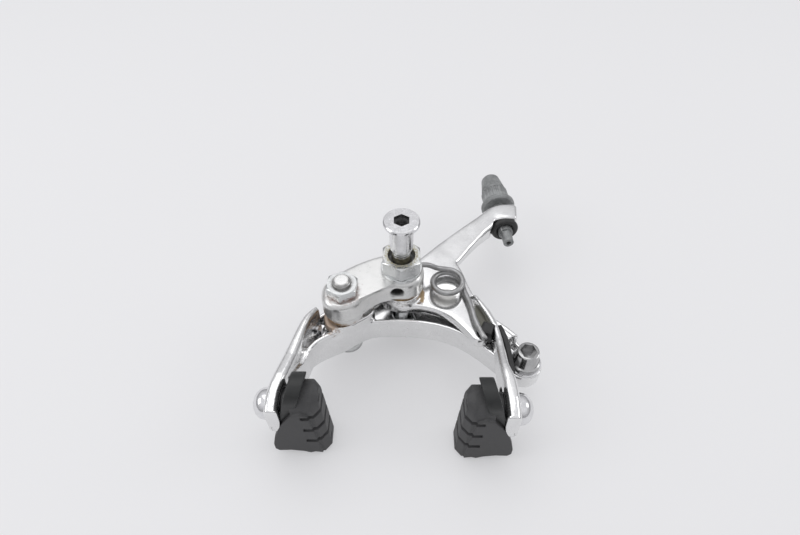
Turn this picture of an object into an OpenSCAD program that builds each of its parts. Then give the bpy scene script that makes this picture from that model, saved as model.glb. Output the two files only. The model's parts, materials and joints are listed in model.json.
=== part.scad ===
// Dual-pivot rim brake caliper for a road bicycle, seen from the rear with its pads towards -Y.
// Z runs along the centre bolt towards the rear, and Z = 0 is the face that seats on the fork crown.

/* [Centre bolt stack] */
// Thread diameter of the centre bolt
bolt_d = 6; // [5:0.5:6]
// Diameter of the shoulder that each arm turns on
shoulder_d = 7; // [6.6:0.1:7.4]
// Width across flats of the rear hex nut
nut_af = 13; // [12:0.5:14]
// Height of the rear hex nut
nut_h = 6; // [5:0.5:8]
// Diameter of the recess in the rear hex nut
nut_recess_d = 9.6; // [9.2:0.1:10.4]
// Depth of the recess in the rear hex nut
nut_recess_depth = 3.6; // [2:0.2:4.4]
// Diameter of the washer under the rear hex nut
washer_d = 14.6; // [13.5:0.1:15.4]
// Thickness of that washer
washer_t = 1.5; // [1:0.1:2.5]
// Bare thread between the nut face and the sleeve nut
bare_thread = 3.8; // [2:0.2:8]
// Diameter of the sleeve nut's body
sleeve_d = 8; // [7.6:0.1:9]
// Length of the sleeve nut without its flange
sleeve_len = 10.9; // [8:0.1:30]
// Diameter of the sleeve nut's flange
flange_d = 12.2; // [10.5:0.1:14]
// Thickness of the sleeve nut's flange
flange_t = 1.8; // [1.2:0.1:3]
// Hexagon socket of the sleeve nut and of the cable bolt, across flats
socket_af = 5; // [4:0.5:5]

/* [Bracket] */
// Thickness of the bracket's plate
bracket_t = 8.5; // [7.6:0.1:10]
// How far its offset boss reaches below the plate
boss_drop = 3.2; // [2:0.1:4]
// Radius of the bracket's rounded edges
bracket_edge_r = 1.3; // [0.6:0.1:1.8]
// Diameter of the cross hole in its lower side
side_hole_d = 4.3; // [3:0.1:5]
// Depth of the cross hole
side_hole_depth = 3.4; // [2:0.1:4]
// Place of the offset pivot across the caliper
pivot_x = -20.2; // [-21:0.1:-19.6]
// Place of the offset pivot below the centre bolt
pivot_y = -10; // [-10.4:0.1:-9.6]

/* [Offset pivot] */
// Width across flats of the offset pivot's nut
offset_nut_af = 10; // [9:0.5:11]
// Height of the offset pivot's nut
offset_nut_h = 4.2; // [3.2:0.1:5]
// Length of stud beyond the offset nut
stud_out = 1.8; // [1:0.1:3]
// Diameter of the offset bolt's head
offset_head_d = 11; // [10:0.1:12]
// Height of the offset bolt's head
offset_head_h = 4; // [3.2:0.1:5]

/* [Arms] */
// Thickness of the adjuster arm's plate
plate_t = 4.3; // [4:0.1:5]
// Rise of the adjuster arm's hub above its plate
hub_rise = 2.4; // [1.8:0.1:3]
// Outer radius of the adjuster arm's hub
hub_r = 7.6; // [6.5:0.1:8]
// Depth of the anchor arm's channel
channel_depth = 7.5; // [6.5:0.1:8]
// Thickness of the anchor arm's front wall
front_wall = 3; // [2.4:0.1:3.6]
// Thickness of the anchor arm's ribs
rib_t = 1.5; // [1.2:0.1:1.7]
// Width of the arms' ends along the bolt axis, at the pads
arm_end_w = 16; // [13:0.5:17]
// Width of the slot in an arm's end
slot_w = 6.3; // [6.2:0.1:7]
// Length of the slot in an arm's end, centre to centre
slot_travel = 8; // [4:0.5:9]

/* [Barrel adjuster] */
// Distance from the centre bolt to the barrel's axis, sideways
barrel_x = 43.4; // [42.8:0.1:44]
// Place of the arm's end along the barrel
barrel_y = 37; // [36.6:0.1:37.4]
// Lean of the barrel towards the centre, in degrees
barrel_lean = 4.9; // [3:0.1:6]
// Thread diameter of the barrel
barrel_d = 6; // [5:0.1:6.4]
// Largest diameter of the knob
knob_d = 14.4; // [12:0.1:15]
// Length of the knob
knob_len = 19.4; // [15:0.1:22]
// Diameter of the cable's own hole
cable_d = 2; // [1.6:0.1:2.4]
// Diameter of the socket for the cable housing
housing_d = 5.1; // [4.9:0.1:5.3]

/* [Pads] */
// Length of a pad along the rim
pad_len = 47; // [44:0.5:50]
// Height of a pad's friction face
pad_h = 11; // [9.5:0.1:12]
// Thickness of the pad holder
holder_t = 5; // [4:0.1:6]
// Lean of the holder against the braking face, in degrees
holder_lean = 10; // [4:0.5:10]
// Diameter of the pad stud
post_d = 6; // [5:0.5:6]
// Diameter of the dome nut
dome_d = 10.4; // [9.4:0.1:12]
// Width of the grooves in a pad
groove_w = 0.9; // [0.6:0.1:1.2]
// Distance between grooves
groove_pitch = 8.2; // [6:0.1:9]

/* [Return spring] */
// Diameter of the spring wire
wire_d = 1.7; // [1.4:0.1:1.9]
// Radius of the spring's coil at the middle of the wire
coil_r = 5; // [4.4:0.1:5.4]

/* [Cable clamp] */
// Diameter of the cable bolt's head at its top
clamp_head_d = 7.6; // [7:0.1:8.4]
// Height of the cable bolt's head
clamp_head_h = 7; // [6:0.1:8]
// Diameter of the cable bolt's flange
clamp_flange_d = 10.4; // [9.6:0.1:11]
// Diameter of the cable washer
clamp_washer_d = 11.2; // [10.4:0.1:12]

/* [Fits] */
// Radial clearance of each pivot
pivot_gap = 0.05; // [0.03:0.01:0.09]
// Clearance between parts that pass each other
run_gap = 0.3; // [0.2:0.05:0.4]

/* [Hidden] */
$fn = 64;

// Heights along the bolt axis, counted down from the seat face
thrust_t = 1;
offset_thrust_t = 0.6;
lock_nut_h = 3.2;
cap_nut_h = 7.3;
front_nut_af = 10;
collar_t = 3;
bracket_top = -nut_h - washer_t;
bracket_bot = bracket_top - bracket_t;
boss_bot = bracket_bot - boss_drop;
hub_top = bracket_bot - thrust_t - run_gap;
plate_top = hub_top - hub_rise;
plate_bot = plate_top - plate_t;
rib_top = plate_bot - 0.5;
floor_top = rib_top - channel_depth;
front_face = floor_top - front_wall;
lock_nut_top = front_face - run_gap - 0.2;
cap_nut_top = lock_nut_top - lock_nut_h;
table_z = cap_nut_top - cap_nut_h;
post_z = table_z + 24;
barrel_z = table_z + 22.5;
arm_top = post_z + arm_end_w/2;
arm_bot = post_z - arm_end_w/2;
right_arm_x = 34.5;
right_arm_w = 4.7;
right_post_y = -46.6;
left_arm_x = -40.2;
left_arm_w = 4.4;
left_post_y = -44.6;
clamp_bolt_d = 5;

// Splines through chosen points, open and closed
function between(a, b, c, d, t) =
    (2*b + (c - a)*t + (2*a - 5*b + 4*c - d)*t*t + (3*b - a - 3*c + d)*t*t*t)/2;
function loop_curve(p, m) = let (n = len(p))
    [for (i = [0:n - 1], k = [0:m - 1]) between(p[(i + n - 1)%n], p[i], p[(i + 1)%n], p[(i + 2)%n], k/m)];
function open_curve(p, m) = let (n = len(p)) concat(
    [for (i = [0:n - 2], k = [0:m - 1])
        between(p[max(i - 1, 0)], p[i], p[i + 1], p[min(i + 2, n - 1)], k/m)], [p[n - 1]]);
function unit(v) = v/norm(v);
function left_of(v) = [-v.y, v.x];
function inward(p, i) = let (n = len(p)) left_of(unit(p[(i + 1)%n] - p[(i + n - 1)%n]));
function inset(p, d) = [for (i = [0:len(p) - 1]) p[i] + inward(p, i)*d];
function raised(p, z) = [for (q = p) [q.x, q.y, z]];
function arc(r, a0, a1, m) = [for (k = [0:m]) let (a = a0 + (a1 - a0)*k/m) [r*cos(a), r*sin(a)]];

// Skin over rings with the same number of points, closed at both ends
module skin(rings) {
    n = len(rings[0]);
    m = len(rings);
    polyhedron(points = [for (r = rings, q = r) q], faces = concat(
        [[for (i = [0:n - 1]) i]],
        [for (j = [0:m - 2], i = [0:n - 1]) [j*n + i, (j + 1)*n + (i + 1)%n, j*n + (i + 1)%n]],
        [for (j = [0:m - 2], i = [0:n - 1]) [j*n + i, (j + 1)*n + i, (j + 1)*n + (i + 1)%n]],
        [[for (i = [0:n - 1]) m*n - 1 - i]]));
}

// Plate of a given outline, plain or with its edges eased by a chamfer
module plate(p, z0, z1) { translate([0, 0, z0]) linear_extrude(z1 - z0) polygon(p); }
module eased_plate(p, z0, z1, c0, c1) {
    skin([raised(inset(p, c0), z0), raised(p, z0 + c0), raised(p, z1 - c1), raised(inset(p, c1), z1)]);
}

// Bar along stations [x, y, width, low z, high z], with rounded corners
function bar_ring(s, i, r) = let (n = len(s), a = s[max(i - 1, 0)], b = s[min(i + 1, n - 1)],
    side = left_of(unit([b.x - a.x, b.y - a.y])), w = s[i][2]/2 - r, zl = s[i][3] + r, zh = s[i][4] - r)
    [for (c = [[w, zl, -90], [w, zh, 0], [-w, zh, 90], [-w, zl, 180]], k = [0:1])
        let (t = c[2] + 90*k, u = c[0] + r*cos(t))
        [s[i].x - side.x*u, s[i].y - side.y*u, c[1] + r*sin(t)]];
module bar(stations, r, m = 2) {
    s = open_curve(stations, m);
    skin([for (i = [0:len(s) - 1]) bar_ring(s, len(s) - 1 - i, r)]);
}

module hex(af, h) { cylinder(d = af/cos(30), h = h, $fn = 6); }
module hole(d, z0, z1) { translate([0, 0, z0]) cylinder(d = d, h = z1 - z0); }

// Hexagon nut with chamfered corners
module hex_nut(af, h, bore) {
    difference() {
        intersection() {
            hex(af, h);
            rotate_extrude() polygon([[0, 0], [af/2, 0], [af*0.58, af*0.045], [af*0.58, h - af*0.045],
                [af/2, h], [0, h]]);
        }
        hole(bore, -1, h + 1);
    }
}

// Centre bolt stack
module centre_bolt() color("silver") {
    hole(bolt_d, table_z + 3, bracket_bot + 0.5);
    hole(bolt_d, bracket_bot, bare_thread + sleeve_len*0.6);
    hole(shoulder_d, plate_bot - run_gap, bracket_bot);
    hole(2*collar_r, plate_bot - run_gap - collar_t, plate_bot - run_gap);
}
collar_r = shoulder_d/2 + 1.1;

module rear_hex_nut() color("lightsteelblue") translate([0, 0, -nut_h]) rotate(30) difference() {
    hex_nut(nut_af, nut_h, bolt_d);
    hole(nut_recess_d, nut_h - nut_recess_depth, nut_h + 1);
}

module rear_washer() color("gainsboro") difference() {
    hole(washer_d, bracket_top, bracket_top + washer_t);
    hole(bolt_d, bracket_top - 1, bracket_top + washer_t + 1);
}

module sleeve_nut() color("silver") translate([0, 0, bare_thread]) difference() {
    rotate_extrude() polygon([[0, 0], [sleeve_d/2 - 0.4, 0], [sleeve_d/2, 0.4], [sleeve_d/2, sleeve_len],
        [flange_d/2 - 0.7, sleeve_len], [flange_d/2, sleeve_len + 0.5],
        [flange_d/2, sleeve_len + flange_t - 0.4], [flange_d/2 - 0.4, sleeve_len + flange_t],
        [0, sleeve_len + flange_t]]);
    hole(bolt_d, -1, sleeve_len*0.6);
    translate([0, 0, sleeve_len + flange_t - 4.2]) rotate(30) hex(socket_af, 5);
}

module centre_thrust_washer() color("goldenrod") difference() {
    hole(2*hub_r - 1, bracket_bot - thrust_t, bracket_bot);
    hole(shoulder_d, bracket_bot - thrust_t - 1, bracket_bot + 1);
}

module front_lock_nut() color("silver")
    translate([0, 0, lock_nut_top - lock_nut_h]) hex_nut(front_nut_af, lock_nut_h, bolt_d);

module front_cap_nut() color("silver") difference() {
    union() {
        translate([0, 0, cap_nut_top - 4]) rotate(15) hex_nut(front_nut_af, 4, bolt_d - 1);
        intersection() {
            translate([0, 0, table_z + 5.6]) sphere(r = 5.6);
            hole(front_nut_af - 0.6, table_z, cap_nut_top - 3.6);
        }
    }
    hole(bolt_d, table_z + 3, cap_nut_top + 1);
}

// Bracket: a wide end round the centre bolt and a deep boss round the offset pivot
bracket_points = [[8.1, -0.6], [6.6, 4.8], [0.6, 8.2], [-7.4, 7.2], [-16.5, 3.0], [-23.6, -2.2],
    [-27.3, -7.2], [-27.2, -13.4], [-24.2, -16.9], [-19.9, -17.6], [-15.4, -15.8], [-11.6, -12.0],
    [-7.4, -8.9], [-2.4, -7.7], [2.6, -7.6], [6.6, -5.2]];
boss_r = 6.9;
module bracket() color("lightgray") difference() {
    union() {
        eased_plate(loop_curve(bracket_points, 3), bracket_bot, bracket_top, 0.4, bracket_edge_r);
        translate([pivot_x, pivot_y, 0]) hole(2*boss_r, boss_bot, bracket_bot + 1);
    }
    hole(bolt_d, bracket_bot - 1, bracket_top + 1);
    translate([pivot_x, pivot_y, 0]) hole(bolt_d, boss_bot - 1, bracket_top + 1);
    translate([-1.5, -8.4, (bracket_top + bracket_bot)/2]) rotate([-90, 0, 0])
        cylinder(d = side_hole_d, h = side_hole_depth + 0.8);
    translate([0, spring_leg_y, spring_leg_z]) rotate([0, 90, 0])
        cylinder(d = wire_d + 0.3, h = 10);
}
spring_leg_y = 5.2;
spring_leg_z = bracket_top - 4.4;

// Offset pivot
module offset_bolt() color("silver") translate([pivot_x, pivot_y, 0]) difference() {
    union() {
        hole(bolt_d, boss_bot - 1, bracket_top + offset_nut_h + stud_out);
        hole(shoulder_d, front_face - run_gap - 0.5, boss_bot);
        translate([0, 0, front_face - run_gap - offset_head_h]) rotate_extrude()
            polygon([[0, 0], [offset_head_d/2 - 1, 0], [offset_head_d/2, 1],
                [offset_head_d/2, offset_head_h], [0, offset_head_h]]);
    }
    translate([0, 0, front_face - run_gap - offset_head_h - 0.01]) hex(socket_af, 2.8);
    translate([0, 0, bracket_top + offset_nut_h + stud_out - 0.7]) difference() {
        cylinder(d = bolt_d + 1, h = 1);
        cylinder(d1 = bolt_d, d2 = bolt_d - 2, h = 1);
    }
}

module offset_nut() color("gainsboro") translate([pivot_x, pivot_y, bracket_top]) rotate(24)
    hex_nut(offset_nut_af, offset_nut_h, bolt_d);

module offset_thrust_washer() color("goldenrod") translate([pivot_x, pivot_y, 0]) difference() {
    hole(offset_head_d + 1, boss_bot - offset_thrust_t, boss_bot);
    hole(shoulder_d, boss_bot - offset_thrust_t - 1, boss_bot + 1);
}

// Return spring: a leg from the bracket, a turn and a quarter of coil, and a leg to the seat on the arm
coil_x = 17.1;
coil_y = 1.4;
coil_turns = 1.25;
coil_steps = 30;
coil_rise = wire_d + 0.25;
coil_low = plate_top + wire_d/2 + 0.35;
coil_high = coil_low + coil_rise*coil_turns;
wire_sides = 10;
leg_end = [28.7, -22.6, plate_top + 1.6];
spring_path = concat(
    open_curve([[3.4, spring_leg_y, spring_leg_z], [9.6, spring_leg_y + 0.3, spring_leg_z - 0.3],
        [13.4, coil_y + coil_r - 0.3, coil_high + 1.2], [coil_x - 0.6, coil_y + coil_r, coil_high + 0.1]], 5),
    [for (k = [1:coil_steps]) let (a = 90 - 360*coil_turns*k/coil_steps)
        [coil_x + coil_r*cos(a), coil_y + coil_r*sin(a), coil_high - coil_rise*coil_turns*k/coil_steps]],
    open_curve([[coil_x + coil_r + 0.4, coil_y - 3, coil_low + 0.1], [24.6, -9, plate_top + 1.7],
        [26.4, -16.2, plate_top + 1.6], leg_end], 4));

// Round wire swept along a path
function tangent(p, i) = unit(p[min(i + 1, len(p) - 1)] - p[max(i - 1, 0)]);
function wire_ring(p, i, r) = let (t = tangent(p, i), a = unit(cross(t, [0, 0, 1])), b = cross(a, t))
    [for (k = [0:wire_sides - 1]) p[i] + r*cos(360*k/wire_sides)*a + r*sin(360*k/wire_sides)*b];
module wire(p, r) { skin([for (i = [0:len(p) - 1]) wire_ring(p, len(p) - 1 - i, r)]); }
module return_spring() color("dimgray") wire(spring_path, wire_d/2);

// Adjuster arm: hub plate, horn up to the barrel, and a leg down to the right pad
plate_points = [[-7.4, 2.0], [-3.6, 7.2], [3.4, 11.6], [9.6, 18.0], [14.6, 20.0], [20.4, 15.4],
    [23.4, 9.2], [25.4, 2.0], [28.4, -6.0], [31.6, -14.0], [31.2, -20.0], [26.6, -22.4],
    [22.8, -17.6], [18.6, -12.8], [12.6, -9.0], [5.6, -7.4], [0.6, -7.9], [-4.6, -6.4], [-7.6, -3.0]];
horn_stations = [[10.0, 10.0, 13, plate_bot, plate_top], [18.6, 19.4, 12.4, plate_bot, plate_top],
    [28.4, 30.2, 9.6, plate_bot - 1.4, plate_top + 0.4], [37.0, 38.6, 8.6, barrel_z - 4.6, plate_top + 1.0],
    [42.4, barrel_y + 4.9, 10.4, barrel_z - 5.4, plate_top + 1.5],
    [barrel_x + 5.6, barrel_y + 4.6, 9.6, barrel_z - 5.2, plate_top + 1.4]];
leg_stations = [[26.4, -3.2, 3.0, plate_bot, plate_top + 1.6], [30.4, -10.8, 3.6, plate_bot, plate_top + 1.9],
    [33.0, -18.4, 3.4, plate_bot, plate_top + 2.2], [33.6, -26.0, 3.4, plate_bot, plate_top + 2.8],
    [right_arm_x - 0.9, -34.4, 3.6, plate_bot - 1.5, arm_top - 0.6],
    [right_arm_x - 0.1, -39.6, 4.6, arm_bot + 0.6, arm_top],
    [right_arm_x, right_post_y, right_arm_w, arm_bot, arm_top],
    [right_arm_x, right_post_y - 8.6, 4.6, arm_bot + 1, arm_top - 1.2]];
groove_points = [[25.6, -1.6], [28.2, -7.6], [30.6, -13.2], [32.0, -18.6], [31.6, -22.0], [28.6, -20.6],
    [26.8, -14.6], [25.4, -7.8]];
module adjuster_arm() color("whitesmoke") difference() {
    union() {
        plate(loop_curve(plate_points, 3), plate_bot, plate_top);
        hole(2*hub_r, plate_top - 1, hub_top);
        bar(horn_stations, 1.1);
        bar(leg_stations, 1.1);
    }
    hole(shoulder_d + 2*pivot_gap, plate_bot - 1, hub_top + 1);
    translate([0, 0, plate_top - 2.2]) linear_extrude(8) polygon(loop_curve(groove_points, 4));
    translate([16.1, -3.4, plate_top - 0.35]) cylinder(d = 10.4, h = 2);
    at_barrel() translate([0, 0, -20]) cylinder(d = barrel_d + 2*pivot_gap, h = 60);
    at_barrel() translate([0, 0, -8]) cylinder(d = o_ring_d + 1.6, h = 8);
    at_seat() skin(seat_rings(4));
    bar(guide_stations, 0.3);
    slot_cut(right_arm_x, right_post_y);
    spot_faces(1, right_arm_w);
}
module spot_faces(side, w) on_pad(side) rotate([0, 90, 0]) {
    cylinder(d = pad_washer_d + 0.6, h = 4);
    translate([0, 0, -w - 4]) cylinder(d = dome_d + 0.6, h = 4);
}
module slot_cut(x, y) hull() for (s = [-1, 1])
    translate([x - 6, y + s*slot_travel/2, post_z]) rotate([0, 90, 0]) cylinder(d = slot_w, h = 12, $fn = 48);

// Nylon seat that the spring's end bears on, and the guide strip on the arm's outer side
seat_x = 29.9;
seat_y = -18.4;
seat_tapers = [[2.3, 2.6, 0], [2.3, 2.6, 2.6], [1.9, 2.2, 4.4], [1.2, 1.6, 4.8]];
function seat_rings(n) = [for (i = [0:n - 1]) let (s = seat_tapers[i])
    [for (c = [[1, -1], [1, 1], [-1, 1], [-1, -1]]) [c.x*s[0], c.y*s[1], s[2]]]];
module at_seat() translate([seat_x, seat_y, plate_top - 2.2]) rotate(-22) children();
module spring_seat() color("dimgray") difference() {
    at_seat() skin(seat_rings(4));
    wire(spring_path, wire_d/2 + 0.15);
}
module side_guide() color("black") bar(guide_stations, 0.3);
guide_stations = [[34.4, -16.6, 1.5, plate_bot, plate_top + 1.4], [35.7, -21.6, 1.7, plate_bot, plate_top + 1.8],
    [36.2, -28.6, 1.7, plate_bot, plate_top + 2.2], [36.3, -35.6, 1.7, plate_bot, plate_top + 2.6]];

// Barrel adjuster
module at_barrel() translate([barrel_x, barrel_y, barrel_z]) rotate([-90, 0, barrel_lean]) children();
screw_tip = 9.4;
arm_end_h = 10.9;
module barrel_screw() color("gray") at_barrel() difference() {
    union() {
        cylinder(d = barrel_d, h = arm_end_h + 12);
        translate([0, 0, -screw_tip]) cylinder(d1 = barrel_d - 1.8, d2 = barrel_d - 1.2, h = screw_tip + 0.1);
        translate([0, 0, -4]) cylinder(d = barrel_d, h = 4.1);
    }
    translate([0, 0, -screw_tip - 1]) cylinder(d = cable_d, h = 60);
}
knob_z = arm_end_h + 0.5;
flutes = 22;
module barrel_knob() color("dimgray") at_barrel() translate([0, 0, knob_z]) difference() {
    rotate_extrude() polygon(concat([[0, 0], [knob_d/2 - 0.8, 0], [knob_d/2, 0.8], [knob_d/2, 1.8],
        [knob_d/2 - 1.5, 3.4], [knob_d/2 - 1.5, 9.2], [knob_d/2 - 2.6, 10.0], [knob_d/2 - 2.6, 11.2],
        [knob_d/2 - 2.1, 11.8]], [[knob_d/2 - 3.2, knob_len - 1], [knob_d/2 - 4, knob_len], [0, knob_len]]));
    for (k = [0:flutes - 1]) rotate(360*k/flutes)
        translate([knob_d/2 - 1.1, 0, 3.6]) cylinder(d = 1.3, h = 5.4, $fn = 16);
    translate([0, 0, -1]) cylinder(d = barrel_d + 2*pivot_gap, h = 13);
    cylinder(d = cable_d + 0.4, h = knob_len);
    translate([0, 0, knob_len - 6]) cylinder(d = housing_d, h = 7);
}
o_ring_t = 2.6;
o_ring_d = barrel_d + 2*pivot_gap + 2*o_ring_t;
module barrel_o_ring() color("black") at_barrel() translate([0, 0, -o_ring_t/2])
    rotate_extrude() translate([(o_ring_d - o_ring_t)/2, 0]) circle(d = o_ring_t, $fn = 32);

// Anchor arm: a channel open to the rear, from the cable lug over the wheel to the left pad
lug_x = 43.5;
lug_y = -26.3;
lug_r = 6;
lug_top = front_face + 6.5;
screw_z = floor_top + 6;
web_points = [[left_arm_x + 2.7, -38], [left_arm_x + 5.6, -30], [left_arm_x + 7.9, -24.6], [-27.5, -20.8], [-21.2, -17.7], [-16.2, -14.3],
    [-11, -11.5], [-4, -10.9], [4, -11.1], [13, -12.6], [21, -15.8], [28.6, -21.6], [34.5, -27.4],
    [39.4, -31.2], [44, -32.2], [48.6, -29.4], [49, -24], [45.4, -20.6], [38.4, -12.8], [30, -6],
    [20, -0.6], [10, 4], [1, 6.6], [-8, 5.4], [-15, 0], [-22, -2.6], [-28.6, -6.2], [-33, -11],
    [left_arm_x + 4.2, -18], [left_arm_x + 2, -26], [left_arm_x + 0.2, -34]];
outer_rib = [[-30.2, -9.6, 2.2, floor_top - 1, plate_top + 2.6], [-33.0, -14.2, 3.0, front_face, plate_top + 3.6],
    [left_arm_x + 5.3, -21.2, 3.7, front_face, plate_top + 4],
    [left_arm_x + 3.3, -30, 4.2, front_face + 0.6, plate_top + 4.4],
    [left_arm_x + 1.4, -38, left_arm_w, arm_bot, arm_top], [left_arm_x, left_post_y, left_arm_w, arm_bot, arm_top],
    [left_arm_x - 0.2, left_post_y - 8.6, left_arm_w, arm_bot + 1, arm_top - 1.2]];
inner_rib = [[-15, -12.8, 1.4, floor_top, rib_top + 0.4], [-21.4, -16.6, 1.5, floor_top, rib_top + 3.4],
    [-27.2, -19.6, 1.6, floor_top, rib_top + 3.6], [-31.6, -23.4, 1.8, floor_top, rib_top + 3.2],
    [left_arm_x + 6.2, -30.0, 1.9, front_face + 1, rib_top + 3],
    [left_arm_x + 3.4, -38.0, 1.9, arm_bot + 1, arm_top - 2]];
hub_points = [[-9.6, -8.2], [-12.0, -5.4], [-16.0, -3.4], [-20.6, -2.6], [-25.2, -4.2], [-27.6, -8.2],
    [-27.6, -13.2], [-25.6, -16.4], [-22.0, -17.2], [-18.0, -15.9], [-14.6, -13.6], [-11.4, -11.4]];
hub_land = boss_bot - offset_thrust_t - run_gap;
channel_end = -33;
module anchor_arm() color("gainsboro") difference() {
    union() {
        difference() {
            plate(loop_curve(web_points, 2), front_face, rib_top);
            translate([0, 0, floor_top]) linear_extrude(20) intersection() {
                polygon(inset(loop_curve(web_points, 2), rib_t));
                translate([-60, channel_end]) square([120, 60]);
            }
        }
        plate(loop_curve(hub_points, 3), front_face + 1, hub_land);
        bar(outer_rib, 1.0);
        bar(inner_rib, 0.4);
        translate([lug_x, lug_y, 0]) hole(2*lug_r, front_face + 0.5, lug_top);
    }
    translate([lug_x, lug_y, 0]) hole(2*lug_r + 7, lug_top, 0);
    translate([lug_x, lug_y, 0]) hole(clamp_bolt_d + 0.2, front_face - 1, 0);
    translate([pivot_x, pivot_y, 0]) hole(shoulder_d + 2*pivot_gap, front_face - 1, 0);
    hull() for (a = [0, arm_swing]) translate(swung([0, 0], -a)) hole(bolt_d + 1.2, front_face - 1, 0);
    slot_cut(left_arm_x, left_post_y);
    spot_faces(-1, left_arm_w);
    at_screw() cylinder(d = centring_d, h = 7);
}
arm_swing = 12.5;
function swung(p, a) = let (d = p - [pivot_x, pivot_y])
    [pivot_x + d.x*cos(a) - d.y*sin(a), pivot_y + d.x*sin(a) + d.y*cos(a), 0];
centring_d = 3.6;
centring_head = 2.7;
module at_screw() translate([pivot_x - 14.4, pivot_y - 1.4, screw_z]) rotate([0, 90, -22]) children();
module centring_screw() color("silver") at_screw() difference() {
    union() {
        translate([0, 0, 1]) cylinder(d = centring_d, h = 4);
        translate([0, 0, 5.7]) cube([centring_head, centring_head, 1.8], center = true);
    }
    translate([0, 0, 0.9]) hex(2, 2);
}

// Cable clamp on the anchor arm's lug
module at_lug(z) translate([lug_x, lug_y, z]) children();
clamp_washer_t = 1.5;
module cable_washer() color("silver") at_lug(lug_top) difference() {
    hole(clamp_washer_d, 0, clamp_washer_t);
    hole(clamp_bolt_d, -1, clamp_washer_t + 1);
    translate([clamp_washer_d/2 - 1.2, -clamp_washer_d/2 + 0.2, -1]) rotate(45) cube([4, 2.4, 6], center = true);
    translate([-8, 2.8, -0.8]) rotate([0, 90, 0]) cylinder(d = cable_d, h = 16);
}
module cable_bolt() color("silver") at_lug(lug_top + clamp_washer_t) difference() {
    union() {
        rotate_extrude() polygon([[0, 0], [clamp_flange_d/2, 0], [clamp_flange_d/2, 0.9],
            [clamp_head_d/2 + 0.5, 2.2], [clamp_head_d/2, clamp_head_h - 0.6],
            [clamp_head_d/2 - 0.6, clamp_head_h], [0, clamp_head_h]]);
        hole(clamp_bolt_d, front_face - lug_top - clamp_washer_t + 0.5, 0.5);
    }
    translate([0, 0, clamp_head_h - 3.6]) rotate(10) hex(socket_af, 4);
}

// Pad, from the arm's inner face towards the rim along X
pad_depth = 14.3;
pad_washer_t = 1.3;
pad_washer_d = 10.6;
stud_in_nut = 4.1;
stud_in_holder = 3;
pad_boss = 2.4;
holder_up = 21;
holder_down = 17;
block_up = 17;
pad_front = table_z - post_z;
module on_pad(side) {
    if (side > 0) translate([right_arm_x - right_arm_w/2, right_post_y, post_z]) mirror([1, 0, 0]) children();
    else translate([left_arm_x + left_arm_w/2, left_post_y, post_z]) children();
}
holder_points = [[0, holder_up], [-3.6, holder_up - 1.3], [-5.6, holder_up - 5], [-5.8, 0], [-4.8, -9],
    [-2.2, -holder_down + 2.2], [0, -holder_down], [2.2, -holder_down + 2.2], [4.8, -9], [5.8, 0],
    [5.6, holder_up - 5], [3.6, holder_up - 1.3]];
module side_extrude(h) rotate([90, 0, 90]) linear_extrude(h) children();
module tilted(x) translate([x, 0, 0]) rotate([0, holder_lean, 0]) children();
module holder_form() tilted(pad_boss) rotate([90, 0, 90]) plate(loop_curve(holder_points, 3), 0, holder_t);
module pad_holder() color("dimgray") difference() {
    union() {
        holder_form();
        translate([pad_washer_t, 0, 0]) rotate([0, 90, 0]) cylinder(d = 10, h = 2.4);
    }
    translate([-1, 0, 0]) rotate([0, 90, 0]) cylinder(d = post_d, h = 1 + pad_washer_t + stud_in_holder);
}
block_points = [[0, block_up], [-3.2, block_up - 0.8], [-5, block_up - 3.2], [-pad_h/2, block_up - 7],
    [-pad_h/2, pad_front], [pad_h/2, pad_front], [pad_h/2, block_up - 7], [5, block_up - 3.2],
    [3.2, block_up - 0.8]];
fin_points = [[8, pad_front], [-4.2, pad_front + 0.5], [-5.6, pad_front + 2], [-5.4, pad_front + 4],
    [-3.2, pad_front + 9], [0.8, pad_front + 14.5], [5, pad_front + 19], [8.6, pad_front + 20.5]];
module pad_block() color("dimgray") difference() {
    union() {
        difference() {
            side_extrude(pad_depth) polygon(block_points);
            tilted(pad_boss + holder_t - 20) cube([40, 30, 100], center = true);
        }
        translate([0, -pad_h/2 + 2, 0]) rotate([90, 0, 0]) linear_extrude(2) polygon(fin_points);
    }
    holder_form();
    for (s = [-1, 1]) translate([pad_depth, s*pad_h/2, 0]) rotate(s*40) cube([4.4, 4.4, 100], center = true);
    for (k = [0:2]) translate([pad_depth - 7.4, -20, 1.5 - groove_pitch*k])
        groove_cut();
    for (z = [block_up - 10.5, pad_front + 4.5]) translate([pad_depth - 3, -pad_h/2 + 2.2, z])
        rotate([0, 0, 40]) cube([3, 1, 2.4], center = true);
}
module groove_cut() {
    translate([0, 0, 0]) cube([4, 15.6, groove_w]);
    translate([6.6, 14, 0]) cube([1.6, 13, groove_w]);
    translate([3.4, 14.4, 0]) cube([4, 3.6, groove_w]);
}
module pad_stud(arm_w) color("silver") translate([-arm_w - stud_in_nut, 0, 0]) rotate([0, 90, 0])
    cylinder(d = post_d, h = arm_w + stud_in_nut + pad_washer_t + stud_in_holder);
module pad_washer() color("dimgray") difference() {
    rotate([0, 90, 0]) cylinder(d = pad_washer_d, h = pad_washer_t);
    translate([-1, 0, 0]) rotate([0, 90, 0]) cylinder(d = post_d, h = 5);
}
module dome_nut(arm_w) color("silver") translate([-arm_w, 0, 0]) rotate([0, -90, 0]) difference() {
    rotate_extrude() polygon(concat([[0, 0], [dome_d/2, 0], [dome_d/2, 1.1]],
        [for (a = [15:15:75]) [dome_d/2*cos(a), 1.1 + 4.1*sin(a)]], [[0, 5.2]]));
    hole(post_d, -1, stud_in_nut + 0.3);
}
module left_pad_holder() on_pad(-1) pad_holder();
module left_pad_block() on_pad(-1) pad_block();
module left_pad_stud() on_pad(-1) pad_stud(left_arm_w);
module left_pad_washer() on_pad(-1) pad_washer();
module left_dome_nut() on_pad(-1) dome_nut(left_arm_w);
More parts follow.
